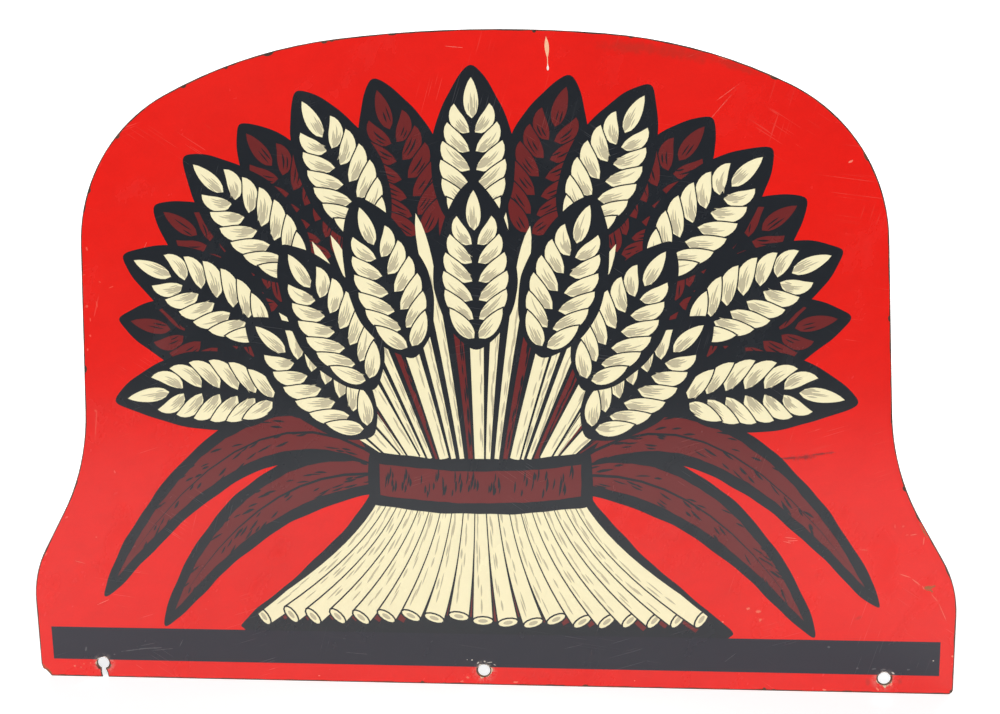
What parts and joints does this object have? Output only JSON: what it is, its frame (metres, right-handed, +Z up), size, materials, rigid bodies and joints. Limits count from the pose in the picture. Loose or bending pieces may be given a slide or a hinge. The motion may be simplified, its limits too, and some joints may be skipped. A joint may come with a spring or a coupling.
{
  "type": "advertising sign",
  "caption": "Flat die-cut sheet steel sign with an arched top, flared feet and bolt holes, screen printed with a wheat sheaf over a plain bar.",
  "frame": {"origin": "axis of the middle hole, which is the middle of the hole line, on the back of the finished sheet", "axes": "+X along the sign's width, +Z up, and the printed front faces -Y"},
  "size_m": [0.712, 0.0011, 0.498],
  "materials": {
    "bare_steel": "sheared mild steel edge, browned by weather",
    "back_enamel": "thin grey backing enamel, rubbed and rust-spotted",
    "cream_enamel": "semi-gloss cream enamel, lightly scratched",
    "red_ink": "glossy red screen ink, lightly scratched",
    "maroon_ink": "glossy maroon screen ink",
    "tan_ink": "glossy tan screen ink",
    "black_ink": "glossy black screen ink",
    "bar_ink": "glossy black screen ink, plain with no lettering"
  },
  "bodies": {
    "root": {"steel_sheet": "bare_steel", "back_enamel": "back_enamel", "front_enamel": "cream_enamel", "red_ink": "red_ink", "maroon_ink": "maroon_ink", "tan_ink": "tan_ink", "black_ink": "black_ink", "name_bar": "bar_ink"}
  },
  "joints": []
}
